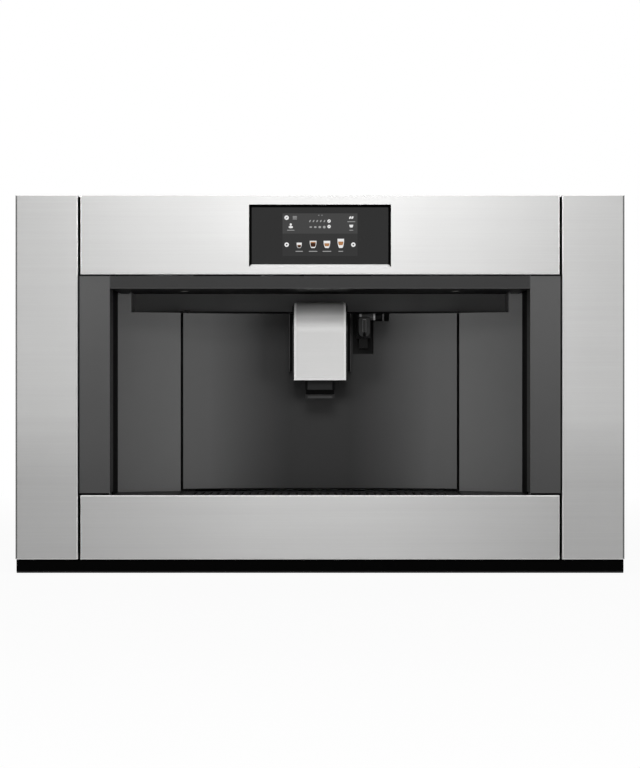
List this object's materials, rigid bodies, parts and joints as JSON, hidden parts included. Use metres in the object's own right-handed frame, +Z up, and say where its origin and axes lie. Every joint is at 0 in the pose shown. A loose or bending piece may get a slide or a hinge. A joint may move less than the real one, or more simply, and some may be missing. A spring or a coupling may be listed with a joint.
{
  "type": "built in coffee machine",
  "caption": "Built-in coffee machine on telescopic slides: steel fascia with display, open cup bay, curved service door with a sliding spout, and a drip drawer.",
  "frame": {"origin": "middle of the front edge of the cabinet niche's floor", "axes": "+X to the right as seen from the front, +Y back into the cabinet, +Z up"},
  "size_m": [0.758, 0.474, 0.4712],
  "materials": {
    "steel": "brushed along the width",
    "grey_paint": "satin anthracite",
    "black_paint": "satin black",
    "zinc_sheet": "galvanised sheet",
    "rail_steel": "zinc plated",
    "black_plastic": "fine satin",
    "inner_plastic": "satin",
    "tab_plastic": "satin",
    "screen_plastic": "gloss black",
    "screen_glass": "tinted, gloss",
    "lens": "clear lens",
    "grille_steel": "brushed",
    "clear_plastic": "smoked, transparent",
    "pump_metal": "plated",
    "boiler_metal": "cast",
    "board": "solder mask"
  },
  "bodies": {
    "cabinet_slides": {"cabinet_rail_left": "rail_steel", "cabinet_rail_right": "rail_steel"},
    "middle_rails": {"middle_rail_left": "rail_steel", "middle_rail_right": "rail_steel", "ball_cages": "rail_steel"},
    "machine": {"inner_rail_left": "rail_steel", "inner_rail_right": "rail_steel", "base_pan": "zinc_sheet", "chassis_side_left": "zinc_sheet", "chassis_side_right": "zinc_sheet", "rear_panel": "zinc_sheet", "top_cover": "zinc_sheet", "trim_carriers": "black_paint", "trim_panel_left": "steel", "trim_panel_right": "steel", "bottom_trim": "black_paint", "control_panel": "steel", "display_glass": "screen_glass", "display_module": "screen_plastic", "front_frame": "grey_paint", "niche_walls": "black_paint", "niche_ceiling": "black_paint", "ceiling_lights": "lens", "head_plate": "grey_paint", "side_panel_left": "grey_paint", "side_panel_right": "grey_paint", "niche_floors": "black_plastic", "inner_front": "black_paint", "hinge_pins": "rail_steel", "steam_nozzle": "black_plastic", "brew_unit": "inner_plastic", "grinder": "inner_plastic", "bean_hopper": "clear_plastic", "preground_funnel": "black_plastic", "pump": "pump_metal", "boiler": "boiler_metal", "control_board": "board", "tank_seat": "black_plastic", "mains_inlet": "black_plastic"},
    "service_door": {"door_skin": "grey_paint", "door_inner": "black_plastic", "spout_guide": "black_plastic"},
    "coffee_spout": {"spout_cover": "steel", "spout_body": "black_plastic", "spout_nozzle": "black_plastic"},
    "hot_water_outlet": {"hot_water_spout": "black_plastic"},
    "drawer": {"drawer_front": "steel", "tray_carriage": "black_plastic", "drip_tray": "black_plastic", "grounds_container": "black_plastic"},
    "grille": {"cup_grille": "grille_steel"},
    "level_float": {"tray_float": "black_plastic"},
    "left_tab": {"brew_tab_left": "tab_plastic"},
    "right_tab": {"brew_tab_right": "tab_plastic"},
    "knob": {"grind_knob": "black_plastic"},
    "bean_cover": {"bean_lid": "black_plastic"},
    "preground_cover": {"preground_lid": "black_plastic"},
    "tank": {"water_tank": "clear_plastic"},
    "tank_cover": {"tank_lid": "clear_plastic"},
    "power_switch": {"mains_switch": "black_plastic"}
  },
  "joints": [
    {"name": "machine_slide", "type": "slide", "parent": "cabinet_slides", "child": "machine", "axis": [0, -1, 0], "range_m": [0, 0.32]},
    {"name": "rail_extension", "type": "slide", "parent": "cabinet_slides", "child": "middle_rails", "axis": [0, -1, 0], "range_m": [0, 0.16]},
    {"name": "door_hinge", "type": "hinge", "parent": "machine", "child": "service_door", "pos_m": [-0.174, 0.1412, 0.2], "axis": [0, 0, -1], "range_deg": [0, 90]},
    {"name": "spout_height", "type": "slide", "parent": "service_door", "child": "coffee_spout", "axis": [0, 0, -1], "range_m": [0, 0.045]},
    {"name": "drawer_slide", "type": "slide", "parent": "machine", "child": "drawer", "axis": [0, -1, 0], "range_m": [0, 0.25]},
    {"name": "grille_lift", "type": "slide", "parent": "drawer", "child": "grille", "axis": [0, 0, -1], "range_m": [-0.06, 0]},
    {"name": "float_rise", "type": "slide", "parent": "drawer", "child": "level_float", "axis": [0, 0, 1], "range_m": [0, 0.006]},
    {"name": "hot_water_spout_pull", "type": "slide", "parent": "machine", "child": "hot_water_outlet", "axis": [0, -1, 0], "range_m": [0, 0.05]},
    {"name": "tank_slide", "type": "slide", "parent": "machine", "child": "tank", "axis": [1, 0, 0], "range_m": [0, 0.1]},
    {"name": "tank_lid_hinge", "type": "hinge", "parent": "tank", "child": "tank_cover", "pos_m": [0.19, 0.31, 0.3326], "axis": [0, -1, 0], "range_deg": [0, 90]},
    {"name": "bean_lid_hinge", "type": "hinge", "parent": "machine", "child": "bean_cover", "pos_m": [-0.125, 0.402, 0.4436], "axis": [-1, 0, 0], "range_deg": [0, 90]},
    {"name": "preground_lid_hinge", "type": "hinge", "parent": "machine", "child": "preground_cover", "pos_m": [0.06, 0.326, 0.4436], "axis": [-1, 0, 0], "range_deg": [0, 90]},
    {"name": "grind_knob_turn", "type": "hinge", "parent": "machine", "child": "knob", "pos_m": [-0.025, 0.3, 0.44], "axis": [0, 0, 1], "range_deg": [-90, 90]},
    {"name": "brew_tab_left_press", "type": "slide", "parent": "machine", "child": "left_tab", "axis": [1, 0, 0], "range_m": [0, 0.004], "stiffness_N_per_m": 600, "springref_m": -0.002},
    {"name": "brew_tab_right_press", "type": "slide", "parent": "machine", "child": "right_tab", "axis": [-1, 0, 0], "range_m": [0, 0.004], "stiffness_N_per_m": 600, "springref_m": -0.002},
    {"name": "mains_switch_rock", "type": "hinge", "parent": "machine", "child": "power_switch", "pos_m": [-0.15, 0.4435, 0.072], "axis": [-1, 0, 0], "range_deg": [0, 16]}
  ],
  "couplings": [
    {"joint": "rail_extension", "follows": "machine_slide", "ratio": 0.5}
  ]
}
